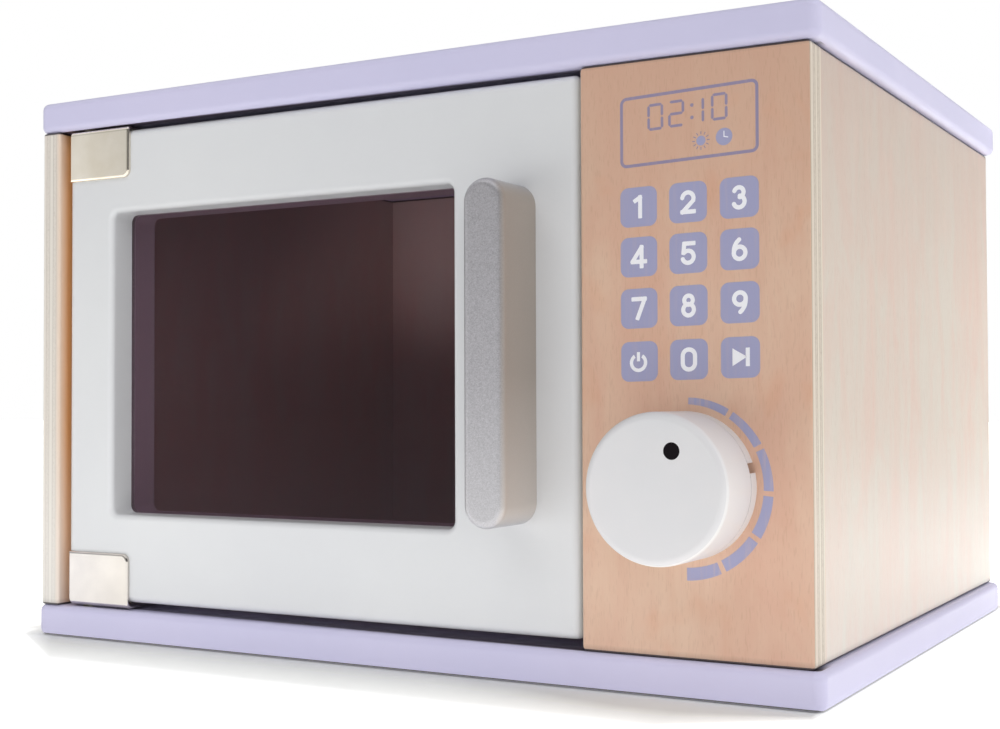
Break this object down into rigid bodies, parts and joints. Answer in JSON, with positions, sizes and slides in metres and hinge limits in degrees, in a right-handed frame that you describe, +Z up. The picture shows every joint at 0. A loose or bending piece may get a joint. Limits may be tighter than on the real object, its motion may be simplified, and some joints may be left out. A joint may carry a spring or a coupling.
{
  "type": "toy oven",
  "caption": "Wooden toy microwave oven: box case, hinged door with window, bar handle and magnet catch, clicking dial and a turning plate.",
  "frame": {"origin": "centre of the bottom board's underside, on the surface that the oven stands on", "axes": "+X to the right as seen from the front, +Y from the front to the back, +Z up"},
  "size_m": [0.318, 0.2732, 0.21],
  "materials": {
    "lavender_paint": "satin lavender paint over medium-density board, edges rounded",
    "plywood": "clear-lacquered birch plywood, vertical face grain, layered edges",
    "white_paint": "satin pale grey-white paint over medium-density board",
    "smoked_acrylic": "clear polished sheet, dark brown tint",
    "silver_paint": "sprayed silver metallic paint with fine sparkle",
    "nickel": "bright nickel plate, lightly rolled",
    "steel": "zinc-plated steel",
    "white_plastic": "satin moulded white plastic",
    "black_plastic": "black plastic",
    "nylon": "natural nylon",
    "beech": "plain beech, lightly oiled"
  },
  "bodies": {
    "cabinet": {"top_board": "lavender_paint", "bottom_board": "lavender_paint", "left_side_panel": "plywood", "right_side_panel": "plywood", "partition": "plywood", "back_panel": "plywood", "control_panel": "plywood", "top_dowels": "beech", "control_dowels": "beech", "case_screws": "steel", "hinge_bush_top": "nylon", "hinge_bush_bottom": "nylon", "catch_block": "beech", "catch_screws": "steel", "catch_magnet": "nickel", "dial_base_ring": "white_plastic", "dial_base_screws": "steel", "dial_bush": "nylon", "turntable_screw": "steel", "turntable_washer": "nylon"},
    "door": {"door_front_board": "white_paint", "door_rear_board": "white_paint", "window_pane": "smoked_acrylic", "door_handle": "silver_paint", "handle_screws": "steel", "hinge_clip_top": "nickel", "hinge_clip_bottom": "nickel", "hinge_clip_screws": "steel", "hinge_pin_top": "steel", "hinge_pin_bottom": "steel", "strike_plate": "nickel", "strike_screw": "steel"},
    "dial": {"dial_knob": "white_plastic", "dial_marker": "black_plastic", "click_pawl": "nylon", "dial_spindle": "steel", "dial_washer": "nylon", "spindle_clip": "steel"},
    "turntable": {"turntable_plate": "beech"}
  },
  "joints": [
    {"name": "door_hinge", "type": "hinge", "parent": "cabinet", "child": "door", "pos_m": [-0.1359, -0.118, 0.1056], "axis": [0, 0, -1], "range_deg": [0, 115]},
    {"name": "dial_turn", "type": "hinge", "parent": "cabinet", "child": "dial", "pos_m": [0.1155, -0.1235, 0.0652], "axis": [0, 1, 0], "continuous": true},
    {"name": "turntable_spin", "type": "hinge", "parent": "cabinet", "child": "turntable", "pos_m": [-0.0337, 0.0071, 0.018], "axis": [0, 0, 1], "continuous": true}
  ]
}
